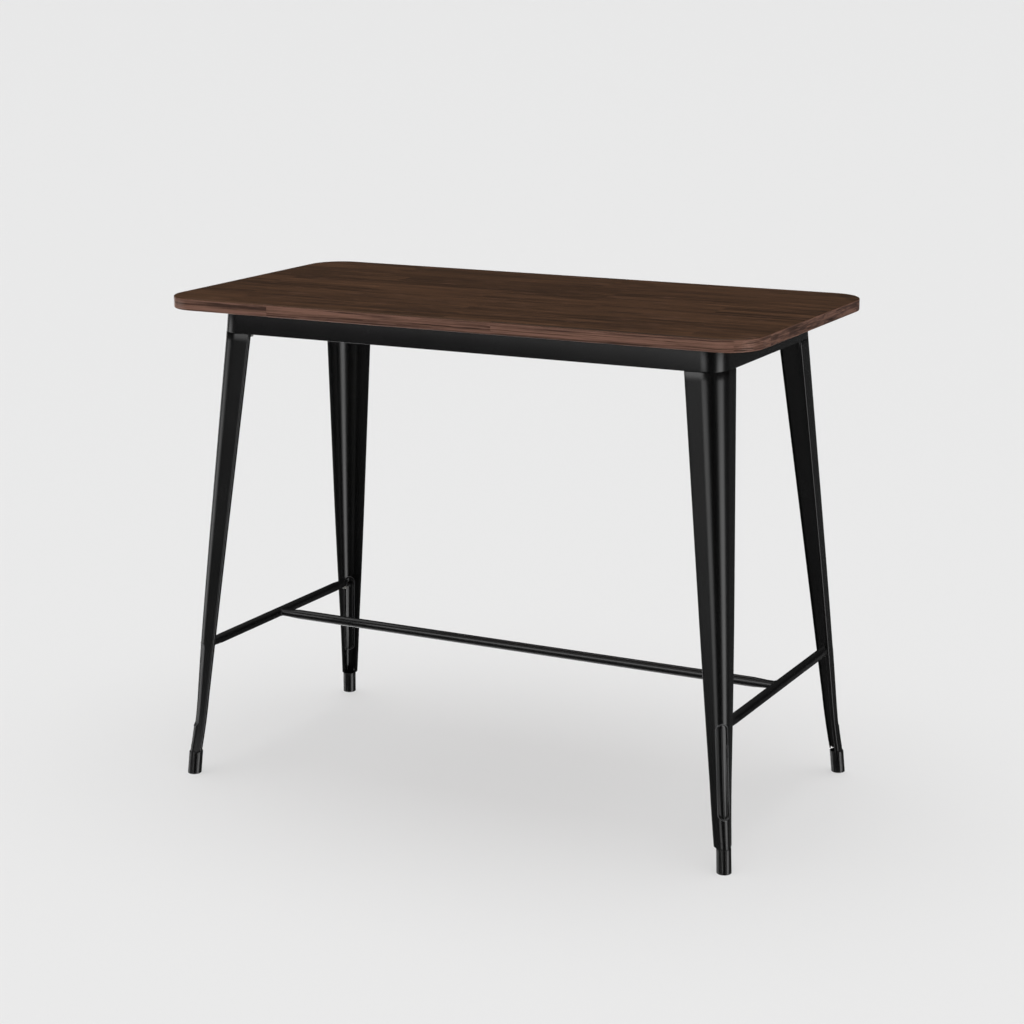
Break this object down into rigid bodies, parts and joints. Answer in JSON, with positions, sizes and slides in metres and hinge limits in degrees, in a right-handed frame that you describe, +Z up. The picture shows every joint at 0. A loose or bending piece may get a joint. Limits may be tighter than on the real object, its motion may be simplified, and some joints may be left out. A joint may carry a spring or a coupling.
{
  "type": "high table",
  "caption": "High table with a rectangular dark wooden top on a black sheet-metal apron, splayed tapered legs, rubber foot caps and a tubular stretcher frame.",
  "frame": {"origin": "on the floor, under the middle of the tabletop", "axes": "+X along the tabletop's long side, +Y along its short side towards the back, +Z up"},
  "size_m": [1.2, 0.6112, 0.95],
  "materials": {
    "stained_wood": "dark stained, satin lacquer",
    "black_metal": "black powder coat, satin",
    "black_rubber": "matt",
    "zinc_steel": "zinc plated"
  },
  "bodies": {
    "root": {"tabletop": "stained_wood", "apron_frame": "black_metal", "cross_bar_left": "black_metal", "cross_bar_right": "black_metal", "corner_gusset_front_left": "black_metal", "corner_gusset_front_right": "black_metal", "corner_gusset_back_right": "black_metal", "corner_gusset_back_left": "black_metal", "leg_front_left": "black_metal", "leg_front_right": "black_metal", "leg_back_right": "black_metal", "leg_back_left": "black_metal", "leg_top_plate_front_left": "black_metal", "leg_top_plate_front_right": "black_metal", "leg_top_plate_back_right": "black_metal", "leg_top_plate_back_left": "black_metal", "end_stretcher_left": "black_metal", "end_stretcher_right": "black_metal", "centre_stretcher": "black_metal", "stretcher_seat_front_left": "black_metal", "stretcher_seat_front_right": "black_metal", "stretcher_seat_back_right": "black_metal", "stretcher_seat_back_left": "black_metal", "foot_cap_front_left": "black_rubber", "foot_cap_front_right": "black_rubber", "foot_cap_back_right": "black_rubber", "foot_cap_back_left": "black_rubber", "leg_bolts": "zinc_steel", "leg_nuts": "zinc_steel", "stretcher_bolts": "zinc_steel", "stretcher_nuts": "zinc_steel", "top_screws": "zinc_steel"}
  },
  "joints": []
}
